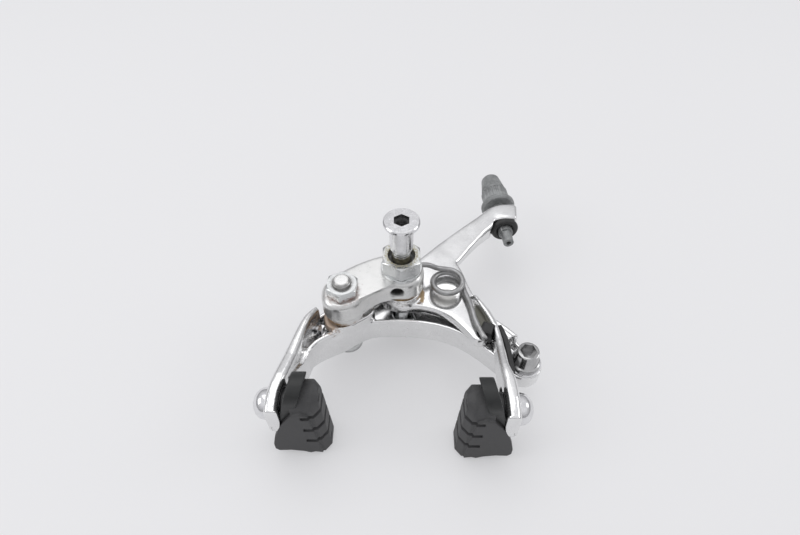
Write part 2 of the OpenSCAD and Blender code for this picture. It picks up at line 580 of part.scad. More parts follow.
module right_pad_holder() on_pad(1) pad_holder();
module right_pad_block() on_pad(1) pad_block();
module right_pad_stud() on_pad(1) pad_stud(right_arm_w);
module right_pad_washer() on_pad(1) pad_washer();
module right_dome_nut() on_pad(1) dome_nut(right_arm_w);

bracket();
centre_bolt();
rear_hex_nut();
rear_washer();
sleeve_nut();
centre_thrust_washer();
front_lock_nut();
front_cap_nut();
offset_bolt();
offset_nut();
offset_thrust_washer();
return_spring();
adjuster_arm();
spring_seat();
side_guide();
barrel_screw();
barrel_knob();
barrel_o_ring();
anchor_arm();
cable_bolt();
cable_washer();
centring_screw();
left_pad_holder();
left_pad_block();
left_pad_stud();
left_pad_washer();
left_dome_nut();
right_pad_holder();
right_pad_block();
right_pad_stud();
right_pad_washer();
right_dome_nut();
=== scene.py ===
import json
import math

import bpy
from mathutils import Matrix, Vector


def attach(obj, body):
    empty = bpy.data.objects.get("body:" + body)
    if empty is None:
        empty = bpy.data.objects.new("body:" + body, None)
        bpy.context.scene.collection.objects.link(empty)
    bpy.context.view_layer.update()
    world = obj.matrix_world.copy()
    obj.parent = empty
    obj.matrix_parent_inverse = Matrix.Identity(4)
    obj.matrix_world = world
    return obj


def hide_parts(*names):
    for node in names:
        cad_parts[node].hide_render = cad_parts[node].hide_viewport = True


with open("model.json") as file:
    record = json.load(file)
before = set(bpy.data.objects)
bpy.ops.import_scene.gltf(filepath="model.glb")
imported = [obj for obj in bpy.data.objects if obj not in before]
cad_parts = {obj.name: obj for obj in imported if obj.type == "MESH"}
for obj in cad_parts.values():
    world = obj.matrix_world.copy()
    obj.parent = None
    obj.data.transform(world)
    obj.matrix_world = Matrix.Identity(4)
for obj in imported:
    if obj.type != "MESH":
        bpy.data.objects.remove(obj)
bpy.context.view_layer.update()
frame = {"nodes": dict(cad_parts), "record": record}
nodes = frame["nodes"]
mm = 0.001
print("frame loaded:", len(nodes), "nodes")

# camera, floor and light

view = {"lens": 24.3, "sensor": 36, "place": (-0.0005, -0.1251, 0.1381), "tilt": 40.8}
cameraData = bpy.data.cameras.new("camera")
cameraData.lens = view["lens"]
cameraData.sensor_width = view["sensor"]
camera = bpy.data.objects.new("camera", cameraData)
camera.location = view["place"]
camera.rotation_euler = (math.radians(view["tilt"]), 0, 0)
bpy.context.scene.collection.objects.link(camera)
bpy.context.scene.camera = camera
bpy.context.scene.view_settings.view_transform = "Standard"


def deselectAll():
    if bpy.context.object and bpy.context.object.mode != "OBJECT":
        bpy.ops.object.mode_set(mode="OBJECT")
    bpy.ops.object.select_all(action="DESELECT")


floor = {"size": 2.4, "height": -0.046, "colour": (0.48, 0.48, 0.486, 1), "glow": (0.325, 0.325, 0.33, 1),
         "rough": 0.9, "gloss": 0.2}
deselectAll()
bpy.ops.mesh.primitive_plane_add(size=floor["size"], location=(0, 0, floor["height"]))
floorPlane = bpy.context.object
floorPlane.name = "floor"
floorMaterial = bpy.data.materials.new("floorPaper")
floorMaterial.use_nodes = True
floorShader = floorMaterial.node_tree.nodes["Principled BSDF"]
floorShader.inputs["Base Color"].default_value = floor["colour"]
floorShader.inputs["Roughness"].default_value = floor["rough"]
floorShader.inputs["Specular IOR Level"].default_value = floor["gloss"]
floorShader.inputs["Emission Color"].default_value = floor["glow"]
# the paper glows only for the camera and in reflections
seenBy = floorMaterial.node_tree.nodes.new("ShaderNodeLightPath")
seen = floorMaterial.node_tree.nodes.new("ShaderNodeMath")
seen.operation = "MAXIMUM"
floorMaterial.node_tree.links.new(seenBy.outputs["Is Camera Ray"], seen.inputs[0])
floorMaterial.node_tree.links.new(seenBy.outputs["Is Glossy Ray"], seen.inputs[1])
floorMaterial.node_tree.links.new(seen.outputs[0], floorShader.inputs["Emission Strength"])
floorPlane.data.materials.append(floorMaterial)

lamps = {
    "overhead": {"place": (-0.10, 0.22, 0.75), "aim": (0, 0, -0.03), "size": 0.60, "power": 1.1},
    "left": {"place": (-0.65, -0.10, 0.45), "aim": (0, 0, -0.03), "size": 0.40, "power": 1.0},
    "right": {"place": (0.65, 0.05, 0.40), "aim": (0, 0, -0.03), "size": 0.30, "power": 0.6},
}
for lampName, lamp in lamps.items():
    lampData = bpy.data.lights.new(lampName, "AREA")
    lampData.size = lamp["size"]
    lampData.energy = lamp["power"]
    lampObject = bpy.data.objects.new(lampName, lampData)
    lampObject.location = lamp["place"]
    toAim = Vector(lamp["aim"]) - Vector(lamp["place"])
    lampObject.rotation_euler = toAim.to_track_quat("-Z", "Y").to_euler()
    bpy.context.scene.collection.objects.link(lampObject)

# a room that darkens towards the horizon, so that polished metal has something to show
room = {"horizon": (0.30, 0.30, 0.31, 1), "ceiling": (0.82, 0.82, 0.84, 1), "ceilingFrom": 0.72,
        "strength": 0.99}
world = bpy.data.worlds.new("room")
world.use_nodes = True
bpy.context.scene.world = world
worldNodes, worldLinks = world.node_tree.nodes, world.node_tree.links
backdrop = worldNodes["Background"]
backdrop.inputs["Strength"].default_value = room["strength"]
direction = worldNodes.new("ShaderNodeTexCoord")
parts = worldNodes.new("ShaderNodeSeparateXYZ")
ramp = worldNodes.new("ShaderNodeValToRGB")
ramp.color_ramp.elements[0].color = room["horizon"]
ramp.color_ramp.elements[1].color = room["ceiling"]
ramp.color_ramp.elements[1].position = room["ceilingFrom"]
worldLinks.new(direction.outputs["Generated"], parts.inputs[0])
worldLinks.new(parts.outputs["Z"], ramp.inputs["Fac"])
worldLinks.new(ramp.outputs["Color"], backdrop.inputs["Color"])
print("camera, floor and light made")

# node groups that several finishes share


def newGroup(name, inputs, outputs):
    group = bpy.data.node_groups.new(name, "ShaderNodeTree")
    for socketName, socketType, value in inputs:
        socket = group.interface.new_socket(name=socketName, in_out="INPUT", socket_type=socketType)
        if value is not None:
            socket.default_value = value
    for socketName, socketType in outputs:
        group.interface.new_socket(name=socketName, in_out="OUTPUT", socket_type=socketType)
    return group, group.nodes.new("NodeGroupInput"), group.nodes.new("NodeGroupOutput")


def mathNode(tree, operation, first, second=None):
    node = tree.nodes.new("ShaderNodeMath")
    node.operation = operation
    for index, value in enumerate((first, second)):
        if value is None:
            continue
        if isinstance(value, (int, float)):
            node.inputs[index].default_value = value
        else:
            tree.links.new(value, node.inputs[index])
    return node.outputs[0]


# a mark with a ragged rim round a point; it paints real stains, and painted shade in sockets, bores and a hole
stainAndShadeRim = {"detail": 4, "outer": 1.0, "inner": 0.55}
stainAndShade, stainAndShadeIn, stainAndShadeOut = newGroup(
    "stainAndShade",
    [("Position", "NodeSocketVector", None), ("Centre", "NodeSocketVector", None),
     ("Stretch", "NodeSocketVector", (1, 1, 1)), ("Reach", "NodeSocketFloat", 0.004),
     ("Ragged", "NodeSocketFloat", 0.8), ("Grain", "NodeSocketFloat", 900.0)],
    [("Mask", "NodeSocketFloat")])
offset = stainAndShade.nodes.new("ShaderNodeVectorMath")
offset.operation = "SUBTRACT"
squeeze = stainAndShade.nodes.new("ShaderNodeVectorMath")
squeeze.operation = "MULTIPLY"
far = stainAndShade.nodes.new("ShaderNodeVectorMath")
far.operation = "LENGTH"
stainAndShadeNoise = stainAndShade.nodes.new("ShaderNodeTexNoise")
stainAndShadeNoise.inputs["Detail"].default_value = stainAndShadeRim["detail"]
fade = stainAndShade.nodes.new("ShaderNodeMapRange")
fade.interpolation_type = "SMOOTHSTEP"
fade.inputs["From Min"].default_value = stainAndShadeRim["outer"]
fade.inputs["From Max"].default_value = stainAndShadeRim["inner"]
stainAndShade.links.new(stainAndShadeIn.outputs["Position"], offset.inputs[0])
stainAndShade.links.new(stainAndShadeIn.outputs["Centre"], offset.inputs[1])
stainAndShade.links.new(offset.outputs[0], squeeze.inputs[0])
stainAndShade.links.new(stainAndShadeIn.outputs["Stretch"], squeeze.inputs[1])
stainAndShade.links.new(squeeze.outputs[0], far.inputs[0])
stainAndShade.links.new(stainAndShadeIn.outputs["Position"], stainAndShadeNoise.inputs["Vector"])
stainAndShade.links.new(stainAndShadeIn.outputs["Grain"], stainAndShadeNoise.inputs["Scale"])
noiseMiddle = 0.5
swing = mathNode(stainAndShade, "SUBTRACT", stainAndShadeNoise.outputs[0], noiseMiddle)
ragged = mathNode(stainAndShade, "MULTIPLY", swing, stainAndShadeIn.outputs["Ragged"])
share = mathNode(stainAndShade, "DIVIDE", far.outputs["Value"], stainAndShadeIn.outputs["Reach"])
stainAndShade.links.new(mathNode(stainAndShade, "ADD", share, ragged), fade.inputs["Value"])
stainAndShade.links.new(fade.outputs[0], stainAndShadeOut.inputs["Mask"])

# fine grain with a few larger clouds in it
grainMix = {"detail": 5, "fine": 0.4, "cloud": 0.6}
grain, grainIn, grainOut = newGroup(
    "fineGrain",
    [("Position", "NodeSocketVector", None), ("Fine", "NodeSocketFloat", 4000.0),
     ("Cloud", "NodeSocketFloat", 250.0)],
    [("Value", "NodeSocketFloat"), ("Height", "NodeSocketFloat")])
fineNoise = grain.nodes.new("ShaderNodeTexNoise")
cloudNoise = grain.nodes.new("ShaderNodeTexNoise")
cloudNoise.inputs["Detail"].default_value = grainMix["detail"]
for noise, scale in ((fineNoise, "Fine"), (cloudNoise, "Cloud")):
    grain.links.new(grainIn.outputs["Position"], noise.inputs["Vector"])
    grain.links.new(grainIn.outputs[scale], noise.inputs["Scale"])
grainSum = mathNode(grain, "ADD", mathNode(grain, "MULTIPLY", fineNoise.outputs[0], grainMix["fine"]),
                    mathNode(grain, "MULTIPLY", cloudNoise.outputs[0], grainMix["cloud"]))
grain.links.new(grainSum, grainOut.inputs["Value"])
grain.links.new(fineNoise.outputs[0], grainOut.inputs["Height"])

# hair scratches that lie across each other
scratchLines = {"lays": ((0.5, 9.0), (-1.1, 12.0)), "tilt": 0.4, "detail": 1, "level": 0.62}
scratch, scratchIn, scratchOut = newGroup(
    "scratches",
    [("Position", "NodeSocketVector", None), ("Scale", "NodeSocketFloat", 700.0),
     ("Width", "NodeSocketFloat", 0.02)],
    [("Mask", "NodeSocketFloat")])
scratchMasks = []
for turn, stretch in scratchLines["lays"]:
    lay = scratch.nodes.new("ShaderNodeMapping")
    lay.inputs["Rotation"].default_value = (turn, turn*scratchLines["tilt"], turn)
    lay.inputs["Scale"].default_value = (1, stretch, 1)
    lines = scratch.nodes.new("ShaderNodeTexNoise")
    lines.inputs["Detail"].default_value = scratchLines["detail"]
    scratch.links.new(scratchIn.outputs["Position"], lay.inputs["Vector"])
    scratch.links.new(lay.outputs[0], lines.inputs["Vector"])
    scratch.links.new(scratchIn.outputs["Scale"], lines.inputs["Scale"])
    aside = mathNode(scratch, "SUBTRACT", lines.outputs[0], scratchLines["level"])
    away = mathNode(scratch, "ABSOLUTE", aside)
    scratchMasks.append(mathNode(scratch, "LESS_THAN", away, scratchIn.outputs["Width"]))
scratch.links.new(mathNode(scratch, "MAXIMUM", *scratchMasks), scratchOut.inputs["Mask"])
print("node groups made")

# finishes

stainAndShadeUsual = {"stretch": (1, 1, 1), "ragged": 0.8, "grain": 900, "amount": 1.0, "rough": 0.6, "metal": 0.0}
grainBand = {"colour": (0.35, 0.65), "rough": (0.3, 0.7)}
usualDepth = 0.00005


class Finish:
    # one material: a base with grain, then stains and painted shade over it
    def __init__(self, name, look):
        self.material = bpy.data.materials.new(name)
        self.material.use_nodes = True
        self.tree = self.material.node_tree
        self.shader = self.tree.nodes["Principled BSDF"]
        self.position = self.tree.nodes.new("ShaderNodeTexCoord").outputs["Object"]
        self.shader.inputs["Metallic"].default_value = look["metallic"]
        grainNode = self.place(grain, Fine=look["fine"], Cloud=look["cloud"])
        grainValue = grainNode.outputs["Value"]
        shade = self.spread(grainValue, *grainBand["colour"])
        self.colour = self.mixColour(shade, look["dark"], look["light"])
        self.rough = self.spread(grainValue, *grainBand["rough"], look["smooth"], look["rough"])
        self.metal = None
        self.metallic = look["metallic"]
        if look.get("scratches"):
            marks = self.place(scratch, Scale=look["scratches"]["scale"], Width=look["scratches"]["width"])
            self.rough = self.mixValue(marks.outputs["Mask"], self.rough, look["scratches"]["rough"])
        self.height = grainNode.outputs["Height"]
        self.bump = look["bump"]
        self.bumpDepth = look.get("depth", usualDepth)

    def place(self, group, **values):
        node = self.tree.nodes.new("ShaderNodeGroup")
        node.node_tree = group
        self.tree.links.new(self.position, node.inputs["Position"])
        for socketName, value in values.items():
            node.inputs[socketName].default_value = value
        return node

    def spread(self, value, low, high, toLow=0.0, toHigh=1.0):
        node = self.tree.nodes.new("ShaderNodeMapRange")
        self.tree.links.new(value, node.inputs["Value"])
        limits = {"From Min": low, "From Max": high, "To Min": toLow, "To Max": toHigh}
        for socketName, number in limits.items():
            node.inputs[socketName].default_value = number
        return node.outputs[0]

    # a Mix node's sockets: 0 is the mask, 2 and 3 take numbers, 6 and 7 colours
    def mixColour(self, mask, first, second):
        node = self.tree.nodes.new("ShaderNodeMix")
        node.data_type = "RGBA"
        self.tree.links.new(mask, node.inputs[0])
        for index, value in ((6, first), (7, second)):
            if isinstance(value, tuple):
                node.inputs[index].default_value = (*value, 1)
            else:
                self.tree.links.new(value, node.inputs[index])
        return node.outputs[2]

    def mixValue(self, mask, first, second):
        node = self.tree.nodes.new("ShaderNodeMix")
        self.tree.links.new(mask, node.inputs[0])
        for index, value in ((2, first), (3, second)):
            if isinstance(value, (int, float)):
                node.inputs[index].default_value = value
            else:
                self.tree.links.new(value, node.inputs[index])
        return node.outputs[0]

    def addStainAndShade(self, spot):
        spot = {**stainAndShadeUsual, **spot}
        node = self.place(stainAndShade, Centre=[value*mm for value in spot["centre"]], Stretch=spot["stretch"],
                          Reach=spot["reach"]*mm, Ragged=spot["ragged"], Grain=spot["grain"])
        mask = mathNode(self.tree, "MULTIPLY", node.outputs["Mask"], spot["amount"])
        self.colour = self.mixColour(mask, self.colour, spot["colour"])
        self.rough = self.mixValue(mask, self.rough, spot["rough"])
        metalBefore = self.metallic if self.metal is None else self.metal
        self.metal = self.mixValue(mask, metalBefore, spot["metal"])

    def finished(self):
        self.tree.links.new(self.colour, self.shader.inputs["Base Color"])
        self.tree.links.new(self.rough, self.shader.inputs["Roughness"])
        if self.metal is not None:
            self.tree.links.new(self.metal, self.shader.inputs["Metallic"])
        bumpNode = self.tree.nodes.new("ShaderNodeBump")
        bumpNode.inputs["Strength"].default_value = self.bump
        bumpNode.inputs["Distance"].default_value = self.bumpDepth
        self.tree.links.new(self.height, bumpNode.inputs["Height"])
        self.tree.links.new(bumpNode.outputs[0], self.shader.inputs["Normal"])
        return self.material


def makeFinish(name, look):
    finish = Finish(name, look)
    for spot in look.get("stainsAndShade", []):
        finish.addStainAndShade(spot)
    return finish.finished()


# a mark's centre and reach are in mm, for stains and painted shade alike, and a stretch above 1 makes it narrower
# that way
rust = (0.20, 0.055, 0.015)
oldGrease = (0.27, 0.135, 0.03)
polishedArm = {
    "dark": (0.76, 0.76, 0.76), "light": (0.84, 0.84, 0.84), "metallic": 1.0, "smooth": 0.13, "rough": 0.22,
    "fine": 2600, "cloud": 160, "bump": 0.008, "scratches": {"scale": 300, "width": 0.006, "rough": 0.35},
    "stainsAndShade": [
        # dark olive along the groove's floor beside the spring leg
        {"centre": (28.8, -11.0, -21.9), "reach": 9.5, "stretch": (2.4, 0.9, 3.2),
         "colour": (0.09, 0.085, 0.05), "rough": 0.55, "amount": 0.85},
        # the cast recess under the coil, greyer and duller: partly its matt cast face, partly the coil's painted
        # shadow
        {"centre": (16.1, -3.4, -19.9), "reach": 5.4, "stretch": (1, 1, 2),
         "colour": (0.42, 0.41, 0.38), "rough": 0.5, "metal": 0.6, "amount": 0.6},
        {"centre": (-34.6, -11.4, -26.0), "reach": 3.0, "colour": rust, "rough": 0.6, "amount": 0.6},
        {"centre": (-26.0, -13.0, -21.0), "reach": 6.8, "stretch": (1, 1, 1.8),
         "colour": oldGrease, "rough": 0.4, "ragged": 1.2, "amount": 0.7},
        {"centre": (7.6, -2.6, -19.7), "reach": 3.4, "stretch": (3.0, 0.8, 1),
         "colour": (0.38, 0.22, 0.04), "rough": 0.4, "ragged": 1.0, "amount": 0.8},
        {"centre": (0, 0, -19.0), "reach": 8.6, "stretch": (1, 1, 2.4),
         "colour": (0.13, 0.10, 0.07), "rough": 0.45, "amount": 0.75},
    ]}
satinBracket = {
    "dark": (0.66, 0.66, 0.65), "light": (0.76, 0.76, 0.75), "metallic": 0.92, "smooth": 0.24, "rough": 0.34,
    "fine": 5200, "cloud": 220, "bump": 0.05, "depth": 0.00006,
    "stainsAndShade": [
        {"centre": (-25.5, -14.5, -20.2), "reach": 9.0, "stretch": (0.7, 0.7, 2.6),
         "colour": oldGrease, "rough": 0.35, "ragged": 1.2, "amount": 0.95},
        {"centre": (4.5, -6.5, -16.9), "reach": 7.0, "stretch": (0.7, 0.8, 3.2),
         "colour": oldGrease, "rough": 0.4, "ragged": 1.2, "amount": 0.9},
        # painted shade: a near-black disc where the small hole in the bracket's side is dark
        {"centre": (-1.55, -4.4, -11.75), "reach": 4.3,
         "colour": (0.02, 0.018, 0.016), "rough": 0.5, "ragged": 0.2, "amount": 0.95},
        {"centre": (-20.2, -10.0, -7.4), "reach": 6.8,
         "colour": rust, "rough": 0.6, "ragged": 1.6, "amount": 0.35},
    ]}
zincSteel = {
    "dark": (0.56, 0.57, 0.57), "light": (0.70, 0.71, 0.71), "metallic": 1.0, "smooth": 0.16, "rough": 0.28,
    "fine": 3000, "cloud": 400, "bump": 0.03,
    "stainsAndShade": [
        {"centre": (-20.2, -10.0, -7.0), "reach": 7.0, "stretch": (1, 1, 4),
         "colour": rust, "rough": 0.7, "ragged": 1.4, "amount": 0.7},
        {"centre": (0, 0, -0.4), "reach": 7.0, "stretch": (1, 1, 3.0),
         "colour": (0.34, 0.29, 0.12), "rough": 0.5, "ragged": 1.2, "grain": 1400, "amount": 0.75},
        # painted shade: near-black in the hex nut's bore round the bolt
        {"centre": (0, 0, -3.4), "reach": 6.2, "stretch": (1, 1, 1.7),
         "colour": (0.035, 0.028, 0.02), "rough": 0.5, "ragged": 0.3, "amount": 0.95},
        # painted shade: darker over the thread's foot and the bore's mouth
        {"centre": (0, 0, 0.8), "reach": 4.4,
         "colour": (0.06, 0.055, 0.05), "rough": 0.4, "metal": 0.6, "ragged": 0.4, "amount": 0.85},
        # painted shade: near-black in the offset nut's bore round the stud; the next mark gives the stud's end its
        # bare metal back
        {"centre": (-20.2, -10.0, -3.5), "reach": 4.3,
         "colour": (0.05, 0.035, 0.02), "rough": 0.5, "ragged": 0.3, "amount": 0.9},
        {"centre": (-20.2, -10.0, -1.4), "reach": 3.1,
         "colour": (0.75, 0.75, 0.74), "rough": 0.16, "metal": 1.0, "ragged": 0.1},
    ]}
brightSteel = {
    "dark": (0.68, 0.68, 0.69), "light": (0.82, 0.82, 0.83), "metallic": 1.0, "smooth": 0.08, "rough": 0.20,
    "fine": 3000, "cloud": 300, "bump": 0.02, "scratches": {"scale": 420, "width": 0.006, "rough": 0.35},
    "stainsAndShade": [
        # painted shade: near-black in the hex socket on the centre axis
        {"centre": (0, 0, 12.8), "reach": 3.9,
         "colour": (0.012, 0.012, 0.012), "rough": 0.5, "ragged": 0.1},
    ]}
boltSteel = {
    "dark": (0.36, 0.36, 0.36), "light": (0.50, 0.50, 0.50), "metallic": 1.0, "smooth": 0.10, "rough": 0.22,
    "fine": 3000, "cloud": 300, "bump": 0.02,
    "stainsAndShade": [
        # painted shade: near-black in the cable bolt's hex socket
        {"centre": (42.0, -25.9, -21.6), "reach": 2.9,
         "colour": (0.02, 0.02, 0.02), "rough": 0.4, "ragged": 0.2, "amount": 0.8},
        # painted shade: near-black metal on the head's left flank, down to the flange
        {"centre": (39.4, -26.4, -24.6), "reach": 3.6, "stretch": (1, 0.8, 1),
         "colour": (0.03, 0.03, 0.03), "rough": 0.25, "metal": 1.0, "ragged": 0.2, "amount": 0.9},
    ]}
bearingWasher = {
    "dark": (0.20, 0.12, 0.05), "light": (0.34, 0.24, 0.11), "metallic": 0.7, "smooth": 0.35, "rough": 0.55,
    "fine": 3000, "cloud": 700, "bump": 0.05}
springWire = {
    "dark": (0.30, 0.30, 0.30), "light": (0.46, 0.46, 0.46), "metallic": 0.8, "smooth": 0.26, "rough": 0.40,
    "fine": 5000, "cloud": 500, "bump": 0.06}
blackPlastic = {
    "dark": (0.012, 0.012, 0.012), "light": (0.03, 0.03, 0.03), "metallic": 0.0, "smooth": 0.38, "rough": 0.55,
    "fine": 5000, "cloud": 400, "bump": 0.08}
greyAlloy = {
    "dark": (0.20, 0.205, 0.205), "light": (0.36, 0.37, 0.37), "metallic": 0.5, "smooth": 0.38, "rough": 0.58,
    "fine": 2500, "cloud": 450, "bump": 0.05, "depth": 0.00008,
    "stainsAndShade": [
        {"centre": (42.1, 52.0, -23.5), "reach": 8.4, "stretch": (0.8, 2.4, 0.8),
         "colour": (0.46, 0.47, 0.47), "rough": 0.42, "ragged": 1.5, "grain": 1500, "metal": 0.6, "amount": 0.6},
    ]}
padHolder = {
    "dark": (0.010, 0.011, 0.011), "light": (0.021, 0.022, 0.022), "metallic": 0.0, "smooth": 0.36, "rough": 0.60,
    "fine": 4000, "cloud": 350, "bump": 0.10}
padRubber = {
    "dark": (0.042, 0.042, 0.043), "light": (0.075, 0.075, 0.077), "metallic": 0.0, "smooth": 0.50, "rough": 0.72,
    "fine": 3500, "cloud": 300, "bump": 0.12, "depth": 0.00008}
darkWasher = {
    "dark": (0.03, 0.03, 0.031), "light": (0.045, 0.045, 0.047), "metallic": 0.0, "smooth": 0.4, "rough": 0.5,
    "fine": 5000, "cloud": 300, "bump": 0.0}
looks = {"polished_arm": polishedArm, "satin_bracket": satinBracket, "zinc_steel": zincSteel,
         "bright_steel": brightSteel, "bearing_washer": bearingWasher, "spring_wire": springWire,
         "black_plastic": blackPlastic, "grey_alloy": greyAlloy, "pad_holder": padHolder,
         "pad_rubber": padRubber, "dark_washer": darkWasher, "bolt_steel": boltSteel}
finishes = {slotName: makeFinish(slotName, look) for slotName, look in looks.items()}
print("finishes made:", len(finishes))

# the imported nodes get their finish, and those that show their corners get eased edges, in mm
easing = {
    "rear_hex_nut": 0.25, "offset_nut": 0.25, "rear_washer": 0.2, "sleeve_nut": 0.2, "cable_washer": 0.2,
    "spring_seat": 0.35, "side_guide": 0.2, "barrel_knob": 0.2, "front_lock_nut": 0.2, "front_cap_nut": 0.2,
    "centring_screw": 0.2, "left_pad_washer": 0.2, "right_pad_washer": 0.2}
easedEdge = {"segments": 3, "angle": 32}
nodeWeld = 0.000002  # joins a node's loose triangles
seamWeld = 0.000001  # closes a turned piece's seam
slotOf = {row["node"]: row["material_slot"] for row in frame["record"]["subparts"]}
for nodeName, node in nodes.items():
    node.data.materials.clear()
    node.data.materials.append(finishes[slotOf[nodeName]])
    weld = node.modifiers.new("weld", "WELD")
    weld.merge_threshold = nodeWeld
    if nodeName in easing:
        ease = node.modifiers.new("ease", "BEVEL")
        ease.width = easing[nodeName]*mm
        ease.segments = easedEdge["segments"]
        ease.limit_method = "ANGLE"
        ease.angle_limit = math.radians(easedEdge["angle"])
        ease.harden_normals = True
print("nodes dressed:", len(nodes))

# cut threads that show
threads = {
    "boltThread": {"centre": (0, 0), "low": 0.1, "high": 3.7, "radius": 3.0, "body": "base"},
    "studThread": {"centre": (-20.2, -10.0), "low": -3.2, "high": -2.2, "radius": 3.0, "body": "base"},
}
threadShape = {"pitch": 1.0, "rise": 0.22, "steps": 32, "smooth": 35}


def makeThread(name, thread):
    deselectAll()
    x, y = thread["centre"]
    rise, pitch = threadShape["rise"], threadShape["pitch"]
    turns = max(1, int((thread["high"] - thread["low"] - rise*2)/pitch + 0.5))
    bpy.ops.mesh.primitive_circle_add(
        vertices=4, radius=rise*mm, fill_type="NGON", rotation=(math.pi/2, 0, 0),
        location=(thread["radius"]*mm, 0, (thread["low"] + rise)*mm))
    piece = bpy.context.object
    piece.name = name
    bpy.ops.object.transform_apply(location=True, rotation=True, scale=True)
    turn = piece.modifiers.new("turn", "SCREW")
    turn.screw_offset = pitch*mm
    turn.iterations = turns
    turn.steps = threadShape["steps"]
    turn.render_steps = threadShape["steps"]
    turn.use_normal_calculate = True
    bpy.ops.object.modifier_apply(modifier="turn")
    bpy.ops.object.mode_set(mode="EDIT")
    bpy.ops.mesh.select_all(action="SELECT")
    bpy.ops.transform.translate(value=(x*mm, y*mm, 0))
    bpy.ops.mesh.remove_doubles(threshold=seamWeld)
    bpy.ops.mesh.normals_make_consistent(inside=False)
    bpy.ops.object.mode_set(mode="OBJECT")
    bpy.ops.object.shade_smooth_by_angle(angle=math.radians(threadShape["smooth"]))
    piece.data.materials.append(finishes["zinc_steel"])
    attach(piece, thread["body"])


for threadName, thread in threads.items():
    makeThread(threadName, thread)
print("threads made:", len(threads))

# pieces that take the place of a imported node


def pick(piece):
    deselectAll()
    piece.select_set(True)
    bpy.context.view_layer.objects.active = piece


def settle(piece, node, finish, body):
    # finish, body and slot of a finished piece, and the node that it stands for
    pick(piece)
    piece.data.materials.clear()
    piece.data.materials.append(finishes[finish])
    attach(piece, body)
    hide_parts(node)


softening = 0.5  # how far a smoothing pass moves each point
outlineRadius = 0.01  # any size: the points are placed afterwards


def applyModifier(piece, kind, **values):
    pick(piece)
    modifier = piece.modifiers.new("shape", kind)
    for valueName, value in values.items():
        setattr(modifier, valueName, value)
    bpy.ops.object.modifier_apply(modifier=modifier.name)


def soften(piece, voxel, passes):
    # one closed skin over all the shells, then its edges rounded
    applyModifier(piece, "REMESH", mode="VOXEL", voxel_size=voxel*mm, use_smooth_shade=True)
    applyModifier(piece, "SMOOTH", factor=softening, iterations=passes)
    bpy.ops.object.shade_smooth()


def makeSlab(points, axis, low, high):
    # a closed outline, extruded along one axis; points are in mm in the other two
    deselectAll()
    bpy.ops.mesh.primitive_circle_add(vertices=len(points), radius=outlineRadius, fill_type="NGON")
    slab = bpy.context.object
    for vertex, (first, second) in zip(slab.data.vertices, points):
        place = [first, second]
        place.insert(axis, low)
        vertex.co = [value*mm for value in place]
    step = [0, 0, 0]
    step[axis] = (high - low)*mm
    bpy.ops.object.mode_set(mode="EDIT")
    bpy.ops.mesh.select_all(action="SELECT")
    bpy.ops.mesh.extrude_region_move(TRANSFORM_OT_translate={"value": step})
    bpy.ops.mesh.select_all(action="SELECT")
    bpy.ops.mesh.normals_make_consistent(inside=False)
    bpy.ops.object.mode_set(mode="OBJECT")
    return slab


def joinPieces(pieces, name):
    deselectAll()
    for piece in pieces:
        piece.select_set(True)
    bpy.context.view_layer.objects.active = pieces[0]
    bpy.ops.object.join()
    pieces[0].name = name
    return pieces[0]


# the web beside the cable's lug, and the channel's floor under the arch, are filled up
fillers = [
    {"points": [(33.2, -9.6), (38.0, -13.3), (41.2, -16.9), (38.6, -17.8), (36.2, -20.2), (34.6, -23.6),
                (33.0, -20.0), (31.6, -12.0)],
     "low": -33.0, "high": -25.2},
    {"points": [(6.5, -10.4), (13, -11.6), (20.6, -14.8), (27.6, -19.8), (29.0, -15.5), (22.0, -9.0),
                (14.0, -5.0), (8.0, -4.0), (6.5, -7.0)],
     "low": -33.0, "high": -28.4},
]
# the arms' ends are short and thin towards the front
armEnds = {
    "anchorArmCast": {"side": -1, "post": (-40.2, -44.6)},
    "adjusterArmCast": {"side": 1, "post": (34.5, -46.6)},
}
endShape = {"short": 0.76, "thin": 0.12, "from": -22.0, "wide": 12, "fade": 4, "inside": 1}
hornEnd = {"from": 33.0, "fade": 5.0, "passes": 80}


def trimEnd(piece, end):
    postX, postY = end["post"]
    for vertex in piece.data.vertices:
        x, y, z = (value/mm for value in vertex.co)
        if y < postY and abs(x - postX) < endShape["wide"]:
            vertex.co.y = (postY + (y - postY)*endShape["short"])*mm
            reach = min(1.0, (postY - y)/endShape["fade"])
            if z < endShape["from"] and abs(x) < abs(postX) + endShape["inside"]:
                vertex.co.x += end["side"]*(endShape["from"] - z)*endShape["thin"]*reach*mm


def roundHorn(piece):
    group = piece.vertex_groups.new(name="horn")
    for vertex in piece.data.vertices:
        share = (vertex.co.y/mm - hornEnd["from"])/hornEnd["fade"]
        if share > 0:
            group.add([vertex.index], min(1.0, share), "REPLACE")
    applyModifier(piece, "SMOOTH", factor=softening, iterations=hornEnd["passes"], vertex_group="horn")
    piece.vertex_groups.clear()


# cast pieces: a merged copy of the node's mesh, rounded all over
castings = {
    "bracketCast": {"node": "bracket", "body": "base", "slot": "satin_bracket", "voxel": 0.30, "passes": 26},
    "adjusterArmCast": {"node": "adjuster_arm", "body": "adjuster", "slot": "polished_arm",
                        "voxel": 0.40, "passes": 12},
    "anchorArmCast": {"node": "anchor_arm", "body": "anchor", "slot": "polished_arm",
                      "voxel": 0.40, "passes": 7},
}
springSwell = {"centre": (16.1, -3.4), "scale": 1.10, "flat": 8.0, "fade": 6.0, "thicker": 0.16, "smooth": 50,
               "body": "base"}


